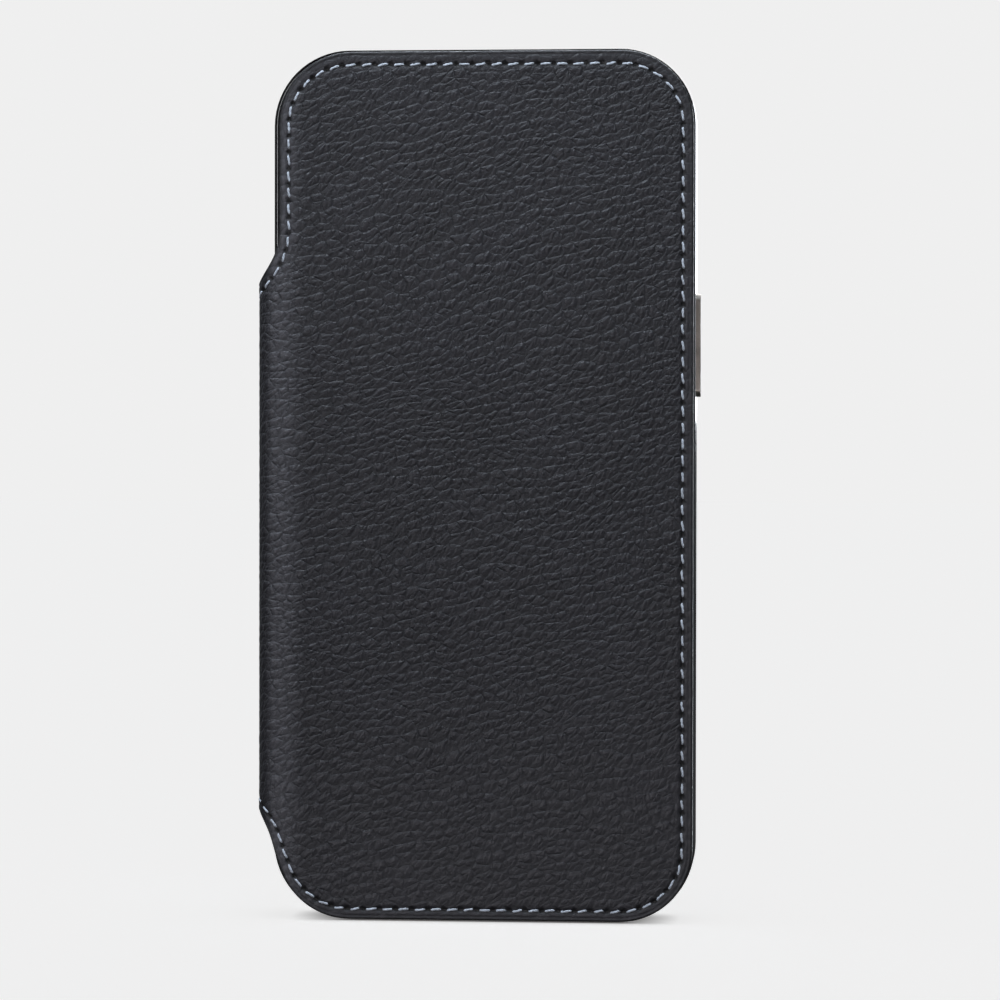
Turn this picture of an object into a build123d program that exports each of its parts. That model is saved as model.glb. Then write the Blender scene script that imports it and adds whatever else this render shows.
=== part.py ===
# Folio phone case with card pockets, standing on its bottom edge, cover closed.
#
# Frame: X runs across the width, with the spine at -X; the cover faces -Y and the camera frame +Y;
# Z is up. The origin is under the middle of the whole case's box. All lengths are in millimetres.

import os

from build123d import *

os.makedirs("parts", exist_ok=True)

# --- Driving dimensions -----------------------------------------------------------------------------

# The phone that the tray holds
phone_width = 77.6
phone_height = 163.0
phone_depth = 8.25
phone_gap = 0.1

# The moulded tray
wall = 1.4
back_wall = 1.2
lip_height = 0.4
lip_overhang = 0.7
corner_radius = 14.4
back_edge_radius = 1.0
front_edge_radius = 0.7

# Layers
leather = 1.0
lining = 0.6
shell_lining_depth = 0.4
board = 0.8
pocket_sheet = 0.35
closing_gap = 0.3

# The spine's leather stands this far off the tray's side
spine_reach = 3.1
fold_clearance = 0.2
spine_bottom = 22.1
spine_top = 121.2
spine_end_flare = 1.8

# The cover's outline, measured in from the tray's outline
cover_top_inset = 0.7
cover_right_inset = 0.3
cover_bottom_inset = 0.3
cover_left_inset = 1.45
cover_low_left_inset = 1.05
cover_corner_radius = 13.8
notch_radius = 1.0

# Heights of the two notches, at the panel's edge and at the fold
top_notch_edge = 127.9
top_notch_fold = 124.2
bottom_notch_fold = 17.8
bottom_notch_edge = 15.0

back_leather_inset = 1.2
board_inset = 1.2

# Stitching: a thread in a pressed groove
stitch_inset = 2.1
thread = 0.5
groove_depth = 0.25
groove_extra = 0.2
stitch_end = 0.6

# Camera opening in the back, and the metal frame round it
camera_width = 39.0
camera_height = 39.5
camera_corner = 11.0
camera_side_margin = 5.7
camera_top_margin = 4.35
frame_rim = 1.5
frame_proud = 3.0
frame_edge_radius = 0.6

# Magnets
ring_outer = 27.0
ring_inner = 23.0
ring_segments = 18
ring_gap = 0.5
ring_gap_overcut = 0.5
ring_depth = 0.6
bar_width = 5.4
bar_height = 18.6
bar_below_ring = 4.5
magnet_fit = 0.1
closing_magnet_width = 4.0
closing_magnet_height = 12.0
closing_magnet_depth = 0.8
closing_magnet_levels = (32.0, 134.0)

# Side buttons: height of the middle, length, and how far the cap stands out of the tray's side
power = (109.7, 19.6, 0.9)
camera_key = (53.6, 17.3, -0.1)
action = (129.9, 9.8, 0.25)
volume_up = (115.6, 11.2, 0.5)
volume_down = (101.4, 11.2, 0.5)
button_width = 2.8
button_clearance = 0.15
flange_margin = 0.75
flange = 0.25
pad = 0.25
recess = 0.55
cap_edge_radius = 0.15

# Openings in the bottom wall
port_length = 13.0
port_width = 5.2
speaker_length = 15.5
speaker_width = 3.2
speaker_offset = 21.0

# Card pockets, from the cover outwards
pocket_inset = 1.0
pocket_tops = (118.0, 104.0, 90.0)
pocket_names = ("card_pocket_upper", "card_pocket_middle", "card_pocket_lower")

# --- Derived places ---------------------------------------------------------------------------------

shell_width = phone_width + 2 * (phone_gap + wall)
shell_height = phone_height + 2 * (phone_gap + wall)
shell_depth = lip_height + phone_depth + shell_lining_depth + back_wall
cover_depth = leather + board + lining + len(pocket_tops) * pocket_sheet
fold_strip = leather + lining

overall_width = spine_reach + shell_width + power[2]
overall_depth = cover_depth + closing_gap + shell_depth + leather + frame_proud

spine_left = -overall_width / 2
shell_left = spine_left + spine_reach
shell_right = shell_left + shell_width
shell_x = (shell_left + shell_right) / 2
shell_z = shell_height / 2

front = -overall_depth / 2
board_front = front + leather
lining_front = board_front + board
pocket_front = lining_front + lining
shell_front = front + cover_depth + closing_gap
shell_back = shell_front + shell_depth
cavity_front = shell_front + lip_height
cavity_back = shell_back - back_wall
leather_back = shell_back + leather
button_y = cavity_front + phone_depth / 2

# Both folds turn about upright axes, at the corners of the folded strip's middle surface
fold_x = spine_left + fold_strip / 2
cover_fold_y = front + fold_strip / 2
back_fold_y = leather_back - fold_strip / 2
tab_end = fold_x + fold_strip / 2 + fold_clearance

cover_left = shell_left + cover_left_inset
cover_right = shell_right - cover_right_inset
cover_top = shell_height - cover_top_inset
cover_low_left = shell_left + cover_low_left_inset
cover_middle = ((cover_left + cover_right) / 2, (cover_top + cover_bottom_inset) / 2)

back_left = shell_left + back_leather_inset
back_right = shell_right - back_leather_inset
back_top = shell_height - back_leather_inset

camera_x = shell_right - camera_side_margin - camera_width / 2
camera_z = shell_height - camera_top_margin - camera_height / 2
bar_z = shell_z - ring_outer - bar_below_ring - bar_height / 2


# --- Outlines ---------------------------------------------------------------------------------------


def layer(y):
    """The upright plane at this depth. Extruding it by a negative amount goes back, towards +Y."""
    return Plane.XZ.offset(-y)


def side_plane(x, side):
    """The plane of a side wall, facing out: side is +1 on the right and -1 on the left."""
    return Plane(origin=(x, button_y, 0), x_dir=(0, side, 0), z_dir=(side, 0, 0))


def tray_outline(inset):
    """The tray's outline, this far inside its outer surface."""
    with Locations((shell_x, shell_z)):
        RectangleRounded(shell_width - 2 * inset, shell_height - 2 * inset, corner_radius - inset)


def camera_outline(margin, mode=Mode.ADD):
    """The camera opening's outline, this far outside it."""
    with Locations((camera_x, camera_z)):
        RectangleRounded(
            camera_width + 2 * margin,
            camera_height + 2 * margin,
            camera_corner + margin,
            mode=mode,
        )


def folio_outline(top, right, bottom, left_upper, left_lower):
    """A leather panel's outline, with the tab between its notches that runs to the fold."""
    corner = cover_corner_radius
    with BuildLine() as edge:
        FilletPolyline(
            (tab_end, top_notch_fold),
            (left_upper, top_notch_edge),
            (left_upper, top),
            (right, top),
            (right, bottom),
            (left_lower, bottom),
            (left_lower, bottom_notch_edge),
            (tab_end, bottom_notch_fold),
            radius=[0, notch_radius, corner, corner, corner, corner, 0, 0],
            close=True,
        )
    make_face(edge.line)


def cover_outline():
    """The cover's outline, out to its fold."""
    folio_outline(cover_top, cover_right, cover_bottom_inset, cover_left, cover_low_left)


def back_outline():
    """The back leather's outline, out to its fold."""
    folio_outline(back_top, back_right, back_leather_inset, back_left, back_left)


def cover_panel(inset, mode=Mode.ADD):
    """The cover's stiff area: its outline without the tab, this far in."""
    width = cover_right - cover_left - 2 * inset
    height = cover_top - cover_bottom_inset - 2 * inset
    with Locations(cover_middle):
        RectangleRounded(width, height, cover_corner_radius - inset, mode=mode)


def stitch_row(top, right, bottom, left_upper, left_lower, width):
    """A line of thread inside a panel's edge, from one notch round to the other."""
    start = tab_end + stitch_end
    upper = left_upper + stitch_inset
    lower = left_lower + stitch_inset
    corner = cover_corner_radius - stitch_inset
    with BuildLine() as row:
        FilletPolyline(
            (start, top_notch_fold - stitch_inset),
            (upper, top_notch_edge - stitch_inset / 2),
            (upper, top - stitch_inset),
            (right - stitch_inset, top - stitch_inset),
            (right - stitch_inset, bottom + stitch_inset),
            (lower, bottom + stitch_inset),
            (lower, bottom_notch_edge + stitch_inset / 2),
            (start, bottom_notch_fold + stitch_inset),
            radius=[notch_radius, corner, corner, corner, corner, 0],
        )
    trace(row.line, line_width=width)


def cover_stitches(width):
    """The cover's row of thread."""
    stitch_row(cover_top, cover_right, cover_bottom_inset, cover_left, cover_low_left, width)


def back_stitches(width):
    """The back leather's row of thread, which stops on either side of the camera frame."""
    stitch_row(back_top, back_right, back_leather_inset, back_left, back_left, width)
    camera_outline(frame_rim + stitch_inset / 2, mode=Mode.SUBTRACT)


def spine_stitches(width):
    """The two short rows of thread that cross the spine, one near each end."""
    length = back_fold_y - cover_fold_y - fold_strip
    for level in (spine_bottom + stitch_inset, spine_top - stitch_inset):
        with Locations(((cover_fold_y + back_fold_y) / 2, level)):
            Rectangle(length, width)


def save(piece, name):
    """Names a finished piece and writes it to its own file."""
    piece.part.label = name
    export_step(piece.part, f"parts/{name}.step")


# --- The tray ---------------------------------------------------------------------------------------


def cut_button_window(side, level, length):
    """The slot for a cap, and the recess behind it for the cap's flange and pad."""
    outside = shell_right if side > 0 else shell_left
    inner_face = outside - side * wall
    cut_width = button_width + 2 * button_clearance
    cut_length = length + 2 * button_clearance
    seat = 2 * (flange_margin + button_clearance)
    with BuildSketch(side_plane(outside, side)) as window:
        with Locations((0, level)):
            SlotOverall(cut_length, cut_width, rotation=90)
    extrude(window.sketch, amount=-wall, mode=Mode.SUBTRACT)
    with BuildSketch(side_plane(inner_face, side)) as seat_area:
        with Locations((0, level)):
            SlotOverall(length + seat, button_width + seat, rotation=90)
    extrude(seat_area.sketch, amount=recess, mode=Mode.SUBTRACT)


def cut_magnet_ring_groove():
    """The round groove and the bar-shaped pocket in the back, for the charging magnets."""
    with BuildSketch(layer(shell_back)) as groove:
        with Locations((shell_x, shell_z)):
            Circle(ring_outer + magnet_fit)
            Circle(ring_inner - magnet_fit, mode=Mode.SUBTRACT)
        with Locations((shell_x, bar_z)):
            Rectangle(bar_width + 2 * magnet_fit, bar_height + 2 * magnet_fit)
    extrude(groove.sketch, amount=ring_depth + magnet_fit, mode=Mode.SUBTRACT)


def cut_closing_magnet_pockets():
    """Pockets in the right wall, open to the cavity, for the magnets that hold the cover shut."""
    with BuildSketch(closing_magnet_plane()) as pockets:
        for level in closing_magnet_levels:
            with Locations((0, level)):
                Rectangle(
                    closing_magnet_width + 2 * magnet_fit, closing_magnet_height + 2 * magnet_fit
                )
    extrude(pockets.sketch, amount=closing_magnet_depth + magnet_fit, mode=Mode.SUBTRACT)


def closing_magnet_plane():
    """The right wall's inner face, facing out, centred on the closing magnets' depth."""
    middle = cavity_front + wall / 2 + closing_magnet_width / 2
    return Plane(origin=(shell_right - wall, middle, 0), x_dir=(0, 1, 0), z_dir=(1, 0, 0))


def cut_bottom_openings():
    """The port and the two speaker slots, through the bottom wall."""
    with BuildSketch(Plane.XY) as openings:
        with Locations((shell_x, button_y)):
            SlotOverall(port_length, port_width)
        with Locations((shell_x - speaker_offset, button_y), (shell_x + speaker_offset, button_y)):
            SlotOverall(speaker_length, speaker_width)
    extrude(openings.sketch, amount=wall + lip_overhang, mode=Mode.SUBTRACT)


def make_back_shell():
    """The polycarbonate tray: a back, four walls and a lip that holds the phone in."""
    with BuildPart() as back_shell:
        with BuildSketch(layer(shell_front)):
            tray_outline(0)
        extrude(amount=-shell_depth)
        fillet(back_shell.faces().sort_by(Axis.Y)[-1].edges(), back_edge_radius)
        fillet(back_shell.faces().sort_by(Axis.Y)[0].edges(), front_edge_radius)
        with BuildSketch(layer(cavity_front)):
            tray_outline(wall)
        extrude(amount=cavity_front - cavity_back, mode=Mode.SUBTRACT)
        with BuildSketch(layer(shell_front)):
            tray_outline(wall + lip_overhang)
        extrude(amount=-lip_height, mode=Mode.SUBTRACT)
        with BuildSketch(layer(cavity_back)):
            camera_outline(0)
        extrude(amount=-back_wall, mode=Mode.SUBTRACT)
        for level, length, _ in (power, camera_key):
            cut_button_window(1, level, length)
        for level, length, _ in (action, volume_up, volume_down):
            cut_button_window(-1, level, length)
        cut_magnet_ring_groove()
        cut_closing_magnet_pockets()
        cut_bottom_openings()
    save(back_shell, "back_shell")


def make_shell_lining():
    """The microfibre sheet that the phone's back rests on."""
    with BuildPart() as shell_lining:
        with BuildSketch(layer(cavity_back)):
            tray_outline(wall + phone_gap)
            camera_outline(phone_gap, mode=Mode.SUBTRACT)
        extrude(amount=shell_lining_depth)
    save(shell_lining, "shell_lining")


def make_back_leather():
    """The leather on the tray's back, with its tab out to the fold."""
    with BuildPart() as back_leather:
        with BuildSketch(layer(shell_back)):
            back_outline()
            camera_outline(frame_rim + phone_gap, mode=Mode.SUBTRACT)
        extrude(amount=-leather)
        with BuildSketch(layer(leather_back)):
            back_stitches(thread + groove_extra)
        extrude(amount=groove_depth, mode=Mode.SUBTRACT)
    save(back_leather, "back_leather")


def make_back_stitching():
    """The thread round the back leather."""
    with BuildPart() as back_stitching:
        with BuildSketch(layer(leather_back)):
            back_stitches(thread)
        extrude(amount=groove_depth)
    save(back_stitching, "back_stitching")


def make_camera_frame():
    """The metal frame that stands round the camera opening."""
    with BuildPart() as camera_frame:
        with BuildSketch(layer(shell_back)):
            camera_outline(frame_rim)
            camera_outline(0, mode=Mode.SUBTRACT)
        extrude(amount=-(leather + frame_proud))
        fillet(camera_frame.faces().sort_by(Axis.Y)[-1].edges(), frame_edge_radius)
    save(camera_frame, "camera_frame")


def make_magnet_ring():
    """The ring of separate magnets in the groove under the back leather."""
    middle = (ring_outer + ring_inner) / 2
    gap_length = ring_outer - ring_inner + 2 * ring_gap_overcut
    with BuildPart() as magnet_ring:
        with BuildSketch(layer(shell_back)):
            with Locations((shell_x, shell_z)):
                Circle(ring_outer)
                Circle(ring_inner, mode=Mode.SUBTRACT)
                with PolarLocations(middle, ring_segments):
                    Rectangle(gap_length, ring_gap, mode=Mode.SUBTRACT)
        extrude(amount=ring_depth)
    save(magnet_ring, "magnet_ring")


def make_alignment_magnet():
    """The bar magnet below the ring."""
    with BuildPart() as alignment_magnet:
        with BuildSketch(layer(shell_back)):
            with Locations((shell_x, bar_z)):
                Rectangle(bar_width, bar_height)
        extrude(amount=ring_depth)
    save(alignment_magnet, "alignment_magnet")


def make_shell_magnets():
    """The magnets in the right wall that hold the cover shut."""
    with BuildPart() as shell_magnets:
        with BuildSketch(closing_magnet_plane()):
            for level in closing_magnet_levels:
                with Locations((0, level)):
                    Rectangle(closing_magnet_width, closing_magnet_height)
        extrude(amount=closing_magnet_depth)
    save(shell_magnets, "shell_magnets")


# --- Side buttons -----------------------------------------------------------------------------------


def make_button(cap_name, pad_name, side, level, length, proud):
    """A metal cap with a flange behind the wall, and the silicone pad that presses on the phone."""
    outside = shell_right if side > 0 else shell_left
    shoulder = outside - side * (wall - recess)
    flange_length = length + 2 * flange_margin
    flange_width = button_width + 2 * flange_margin
    with BuildPart() as cap:
        with BuildSketch(side_plane(shoulder, side)):
            with Locations((0, level)):
                SlotOverall(length, button_width, rotation=90)
        extrude(amount=wall - recess + proud)
        end_face = cap.faces().sort_by(Axis.X)[-1 if side > 0 else 0]
        fillet(end_face.edges(), cap_edge_radius)
        with BuildSketch(side_plane(shoulder, side)):
            with Locations((0, level)):
                SlotOverall(flange_length, flange_width, rotation=90)
        extrude(amount=-flange)
    save(cap, cap_name)
    with BuildPart() as button_pad:
        with BuildSketch(side_plane(shoulder - side * flange, side)):
            with Locations((0, level)):
                SlotOverall(flange_length, flange_width, rotation=90)
        extrude(amount=-pad)
    save(button_pad, pad_name)


def make_buttons():
    """The two caps on the right side and the three on the left."""
    make_button("power_button", "power_pad", 1, *power)
    make_button("camera_key", "camera_key_pad", 1, *camera_key)
    make_button("action_button", "action_pad", -1, *action)
    make_button("volume_up_button", "volume_up_pad", -1, *volume_up)
    make_button("volume_down_button", "volume_down_pad", -1, *volume_down)


# --- The spine --------------------------------------------------------------------------------------


def spine_outline(fold_inset):
    """The spine seen from the side: its two ends dip towards the middle between the folds."""
    near = cover_fold_y + fold_inset
    far = back_fold_y - fold_inset
    middle = (near + far) / 2
    with BuildLine() as edge:
        ThreePointArc(
            (near, spine_top + spine_end_flare),
            (middle, spine_top),
            (far, spine_top + spine_end_flare),
        )
        Line((far, spine_top + spine_end_flare), (far, spine_bottom - spine_end_flare))
        ThreePointArc(
            (far, spine_bottom - spine_end_flare),
            (middle, spine_bottom),
            (near, spine_bottom - spine_end_flare),
        )
        Line((near, spine_bottom - spine_end_flare), (near, spine_top + spine_end_flare))
    make_face(edge.line)


def make_spine_leather():
    """The spine's leather, with a round bead along each fold."""
    with BuildPart() as spine_leather:
        with BuildSketch(Plane.YZ.offset(spine_left)):
            spine_outline(0)
        extrude(amount=leather)
        bead_bottom = spine_bottom - spine_end_flare
        with BuildSketch(Plane.XY.offset(bead_bottom)):
            with Locations((fold_x, cover_fold_y), (fold_x, back_fold_y)):
                Circle(fold_strip / 2)
        extrude(amount=spine_top + spine_end_flare - bead_bottom)
        with BuildSketch(Plane.YZ.offset(spine_left)):
            spine_stitches(thread + groove_extra)
        extrude(amount=groove_depth, mode=Mode.SUBTRACT)
    save(spine_leather, "spine_leather")


def make_spine_lining():
    """The microfibre inside the spine, between the beads."""
    with BuildPart() as spine_lining:
        with BuildSketch(Plane.YZ.offset(spine_left + leather)):
            spine_outline(fold_strip / 2)
        extrude(amount=lining)
    save(spine_lining, "spine_lining")


def make_spine_stitching():
    """The thread over the spine's two ends."""
    with BuildPart() as spine_stitching:
        with BuildSketch(Plane.YZ.offset(spine_left)):
            spine_stitches(thread)
        extrude(amount=groove_depth)
    save(spine_stitching, "spine_stitching")


# --- The cover --------------------------------------------------------------------------------------


def cover_magnet_outlines(fit, mode=Mode.ADD):
    """The cover's closing magnets, opposite those in the tray's right wall."""
    middle = cover_right - board_inset - closing_magnet_width
    for level in closing_magnet_levels:
        with Locations((middle, level)):
            Rectangle(
                closing_magnet_width + 2 * fit, closing_magnet_height + 2 * fit, mode=mode
            )


def make_flap_leather():
    """The cover's leather, out to its fold, with a groove pressed in for the thread."""
    with BuildPart() as flap_leather:
        with BuildSketch(layer(front)):
            cover_outline()
        extrude(amount=-leather)
        with BuildSketch(layer(front)):
            cover_stitches(thread + groove_extra)
        extrude(amount=-groove_depth, mode=Mode.SUBTRACT)
    save(flap_leather, "flap_leather")


def make_flap_stitching():
    """The thread round the cover."""
    with BuildPart() as flap_stitching:
        with BuildSketch(layer(front)):
            cover_stitches(thread)
        extrude(amount=-groove_depth)
    save(flap_stitching, "flap_stitching")


def make_flap_board():
    """The stiffener between the cover's leather and lining, with cut-outs for the magnets."""
    with BuildPart() as flap_board:
        with BuildSketch(layer(board_front)):
            cover_panel(board_inset)
            cover_magnet_outlines(magnet_fit, mode=Mode.SUBTRACT)
        extrude(amount=-board)
    save(flap_board, "flap_board")


def make_flap_magnets():
    """The magnets in the cover's board."""
    with BuildPart() as flap_magnets:
        with BuildSketch(layer(board_front)):
            cover_magnet_outlines(0)
        extrude(amount=-closing_magnet_depth)
    save(flap_magnets, "flap_magnets")


def make_flap_lining():
    """The cover's lining: thin in the tab, and closed round the board's edge."""
    with BuildPart() as flap_lining:
        with BuildSketch(layer(board_front)):
            cover_outline()
        extrude(amount=-lining)
        with BuildSketch(layer(board_front)):
            cover_panel(0)
        extrude(amount=-(board + lining))
        with BuildSketch(layer(board_front)):
            cover_panel(board_inset)
        extrude(amount=-board, mode=Mode.SUBTRACT)
    save(flap_lining, "flap_lining")


def make_card_pocket(name, front_face, top):
    """One card pocket's sheet, with its mouth at the top, pressed flat on the sheet behind it."""
    cut_height = shell_height - top
    with BuildPart() as card_pocket:
        with BuildSketch(layer(front_face)):
            cover_panel(pocket_inset)
            with Locations((shell_x, top + cut_height / 2)):
                Rectangle(shell_width, cut_height, mode=Mode.SUBTRACT)
        extrude(amount=-pocket_sheet)
    save(card_pocket, name)


def make_cover():
    """The cover, from its leather in to the card pockets."""
    make_flap_leather()
    make_flap_stitching()
    make_flap_board()
    make_flap_magnets()
    make_flap_lining()
    for index, (name, top) in enumerate(zip(pocket_names, pocket_tops)):
        make_card_pocket(name, pocket_front + index * pocket_sheet, top)


make_back_shell()
make_shell_lining()
make_back_leather()
make_back_stitching()
make_camera_frame()
make_magnet_ring()
make_alignment_magnet()
make_shell_magnets()
make_buttons()
make_spine_leather()
make_spine_lining()
make_spine_stitching()
make_cover()
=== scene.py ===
import math

import bmesh
import bpy
import numpy as np
from mathutils import Matrix, Vector
from mathutils.geometry import delaunay_2d_cdt
from mathutils.kdtree import KDTree


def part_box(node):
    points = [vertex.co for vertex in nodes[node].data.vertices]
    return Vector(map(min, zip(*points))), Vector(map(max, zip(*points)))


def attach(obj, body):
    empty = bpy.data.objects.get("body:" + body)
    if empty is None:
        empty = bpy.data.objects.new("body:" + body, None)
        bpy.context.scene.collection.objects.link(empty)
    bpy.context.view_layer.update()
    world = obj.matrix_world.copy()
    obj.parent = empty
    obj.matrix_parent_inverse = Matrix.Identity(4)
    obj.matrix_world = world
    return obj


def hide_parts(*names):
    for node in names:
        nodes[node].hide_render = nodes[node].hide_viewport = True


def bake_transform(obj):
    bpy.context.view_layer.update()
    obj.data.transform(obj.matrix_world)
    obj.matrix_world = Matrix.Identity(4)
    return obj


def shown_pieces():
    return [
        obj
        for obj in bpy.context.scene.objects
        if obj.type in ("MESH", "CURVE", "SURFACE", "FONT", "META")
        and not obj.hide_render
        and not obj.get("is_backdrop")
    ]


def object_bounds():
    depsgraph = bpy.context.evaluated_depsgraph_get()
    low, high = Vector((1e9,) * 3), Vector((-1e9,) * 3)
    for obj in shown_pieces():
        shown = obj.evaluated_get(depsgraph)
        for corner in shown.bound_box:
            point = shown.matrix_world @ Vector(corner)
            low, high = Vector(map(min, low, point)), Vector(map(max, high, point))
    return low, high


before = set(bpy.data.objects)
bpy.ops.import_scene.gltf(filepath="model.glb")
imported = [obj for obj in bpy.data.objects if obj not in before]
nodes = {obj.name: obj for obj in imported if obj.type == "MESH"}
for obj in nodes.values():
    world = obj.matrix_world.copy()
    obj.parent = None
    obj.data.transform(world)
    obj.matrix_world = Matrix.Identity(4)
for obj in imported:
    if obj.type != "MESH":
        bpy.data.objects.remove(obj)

cad_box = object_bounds()

MM = 0.001  # lengths below are in millimetres unless a name says otherwise


def add_object(name, data):
    made = bpy.data.objects.new(name, data)
    bpy.context.scene.collection.objects.link(made)
    return made


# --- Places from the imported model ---


def box_mm(node):
    """A CAD node's lowest and highest corner, in millimetres."""
    low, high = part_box(node)
    return [c / MM for c in low], [c / MM for c in high]


tray_low, tray_high = box_mm("back_shell")
spine_low, _ = box_mm("spine_leather")
flap_low, flap_high = box_mm("flap_leather")
back_low, back_high = box_mm("back_leather")
lining_low, lining_high = box_mm("flap_lining")
tray_lining_low, tray_lining_high = box_mm("shell_lining")
frame_low, frame_high = box_mm("camera_frame")
pocket_names = ("card_pocket_upper", "card_pocket_middle", "card_pocket_lower")

front = flap_low[1]
behind = back_high[1]
spine_left = spine_low[0]
spine_middle = (front + behind) / 2
leather = flap_high[1] - flap_low[1]
lining = 0.6  # on the spine

# The leather's fold from a panel into the spine: a rounded corner, as seen from above
FOLD_REACH = 6.0
FOLD_SQUARENESS = 2.6

# Notches beside the spine: (distance in from the spine's outer face, height)
TOP_NOTCH = (
    (4.55, 131.0), (4.35, 129.4), (3.85, 127.6), (3.15, 126.1),
    (1.95, 124.2), (0.7, 122.4), (0.12, 121.6), (0.0, 121.25),
)
LOW_NOTCH = (
    (3.95, 11.9), (3.5, 13.5), (2.9, 15.4), (2.1, 17.3), (1.05, 19.2), (0.3, 20.5), (0.0, 21.5),
)
SPINE_TOP = 121.2
SPINE_BOTTOM = 22.1

COVER_LEFT = tray_low[0] + 1.45
COVER_LOW_LEFT = tray_low[0] + 1.05
BACK_LEFT = tray_low[0] + 1.2
PANEL_CORNER = 13.8
LOW_ARC_END = 197  # degrees: where the lower left corner's arc gives way to the notch
TURN_IN = (0.42, 10.4)  # the notch's first point, from the panel's lower left corner
RUN_PAST = 8.0  # how far an edge line runs on past the cut at the spine's middle

# Stitching: how far in from each side of a panel its row runs
ROW_INSET = {"left": 1.85, "right": 1.95, "top": 2.5, "bottom": 1.95}
STITCH_PITCH = 3.1
STITCH_SEEN = 2.0
THREAD = 0.42  # its width


# --- The fold ---


class Fold:
    """The rounded corner between a panel and the spine. Distances t run along the leather's outer
    face, from the panel into the spine."""

    def __init__(self):
        angle = np.linspace(0, math.pi / 2, 400)
        power = 2 / FOLD_SQUARENESS
        across = FOLD_REACH * np.sin(angle) ** power
        depth = FOLD_REACH * (1 - np.maximum(np.cos(angle), 0) ** power)
        step = np.hypot(np.diff(across), np.diff(depth))
        self.t = np.concatenate([[0], np.cumsum(step)])
        self.across, self.depth = across, depth
        self.heading = np.arctan2(np.gradient(depth, self.t), np.gradient(across, self.t))
        self.heading[0], self.heading[-1] = 0, math.pi / 2
        self.length = self.t[-1]
        self.start = spine_left + FOLD_REACH
        self.middle = self.length + (behind - front) / 2 - FOLD_REACH

    def distance_at(self, inset):
        """How far past the fold's start the leather is this far in from the spine's outer face."""
        return float(np.interp(FOLD_REACH - inset, self.across, self.t))

    def place(self, u, z, depth, mirrored):
        """Points in the row frame. u is x on the panel and runs on round the fold; depth is how
        far under the leather's outer face a point lies."""
        t = np.clip(self.start - u, 0, None)
        on_fold = np.minimum(t, self.length)
        across = np.interp(on_fold, self.t, self.across)
        drop = np.interp(on_fold, self.t, self.depth)
        heading = np.interp(on_fold, self.t, self.heading)
        x = np.where(t > 0, self.start - across, u) + depth * np.sin(heading)
        y = front + drop + np.clip(t - self.length, 0, None) + depth * np.cos(heading)
        if mirrored:
            y = 2 * spine_middle - y
        return np.stack([x, y, z], 1)


fold = Fold()
u_middle = fold.start - fold.middle


# --- Outlines on the flat hide ---


def spline(points, count):
    """A smooth line through the points."""
    p = np.array(points, float)
    p = np.vstack([2 * p[0] - p[1], p, 2 * p[-1] - p[-2]])
    out = []
    for i in range(1, len(p) - 2):
        t = np.linspace(0, 1, count, endpoint=False)[:, None]
        a, b, c, d = p[i - 1 : i + 3]
        square, cube = 2 * a - 5 * b + 4 * c - d, 3 * b - a - 3 * c + d
        out.append(0.5 * (2 * b + (c - a) * t + square * t**2 + cube * t**3))
    out.append(p[-2][None])
    return np.vstack(out)


def arc(centre, radius, start, end, count=60):
    """Points on an arc between two angles in degrees."""
    a = np.radians(np.linspace(start, end, count))
    return np.stack([centre[0] + radius * np.cos(a), centre[1] + radius * np.sin(a)], 1)


def on_hide(notch):
    """A notch's points on the flat hide."""
    return [(fold.start - fold.distance_at(inset), z) for inset, z in notch]


def panel_line(left, low_left, right, bottom, top):
    """A panel's edge on the flat hide, from the spine's top end round to its bottom end."""
    r = PANEL_CORNER
    upper = on_hide(TOP_NOTCH)
    upper[0] = (left, upper[0][1])
    turn_in = (low_left + TURN_IN[0], bottom + TURN_IN[1])
    lower = [turn_in] + [p for p in on_hide(LOW_NOTCH) if p[1] > turn_in[1] + 1.0]
    return np.vstack(
        [
            [(u_middle - RUN_PAST, SPINE_TOP), (u_middle, SPINE_TOP)],
            spline([(u_middle + 1.5, SPINE_TOP)] + upper[::-1] + [(left, upper[0][1] + 2)], 12),
            arc((left + r, top - r), r, 180, 90),
            arc((right - r, top - r), r, 90, 0),
            arc((right - r, bottom + r), r, 0, -90),
            arc((low_left + r, bottom + r), r, 270, LOW_ARC_END),
            spline(lower + [(u_middle + 1.5, SPINE_BOTTOM)], 12),
            [(u_middle, SPINE_BOTTOM), (u_middle - RUN_PAST, SPINE_BOTTOM)],
        ]
    )


def resample(line, spacing):
    """The line as evenly spaced points."""
    step = np.hypot(*np.diff(line, axis=0).T)
    keep = np.concatenate([[True], step > 1e-6])
    line = line[keep]
    s = np.concatenate([[0], np.cumsum(np.hypot(*np.diff(line, axis=0).T))])
    n = max(int(round(s[-1] / spacing)), 2)
    even = np.linspace(0, s[-1], n + 1)
    return np.stack([np.interp(even, s, line[:, k]) for k in (0, 1)], 1)


def soften(line, passes):
    """The open line with its small kinks smoothed."""
    for _ in range(passes):
        line[1:-1] = 0.25 * line[:-2] + 0.5 * line[1:-1] + 0.25 * line[2:]
    return line


def normals_of(line, closed=False):
    """Unit normals on the right-hand side of the line's direction."""
    if closed:
        tangent = np.roll(line, -1, 0) - np.roll(line, 1, 0)
    else:
        tangent = np.gradient(line, axis=0)
    tangent /= np.linalg.norm(tangent, axis=1)[:, None]
    return np.stack([tangent[:, 1], -tangent[:, 0]], 1)


def rounded_rectangle(low, high, radius, spacing):
    """A closed outline, clockwise."""
    (x0, z0), (x1, z1) = low, high
    r = radius
    line = np.vstack(
        [
            arc((x0 + r, z1 - r), r, 180, 90),
            arc((x1 - r, z1 - r), r, 90, 0),
            arc((x1 - r, z0 + r), r, 0, -90),
            arc((x0 + r, z0 + r), r, 270, 180),
        ]
    )
    line = np.vstack([line, line[:1]])
    return resample(line, spacing)[:-1]


# --- Node helpers ---


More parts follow.
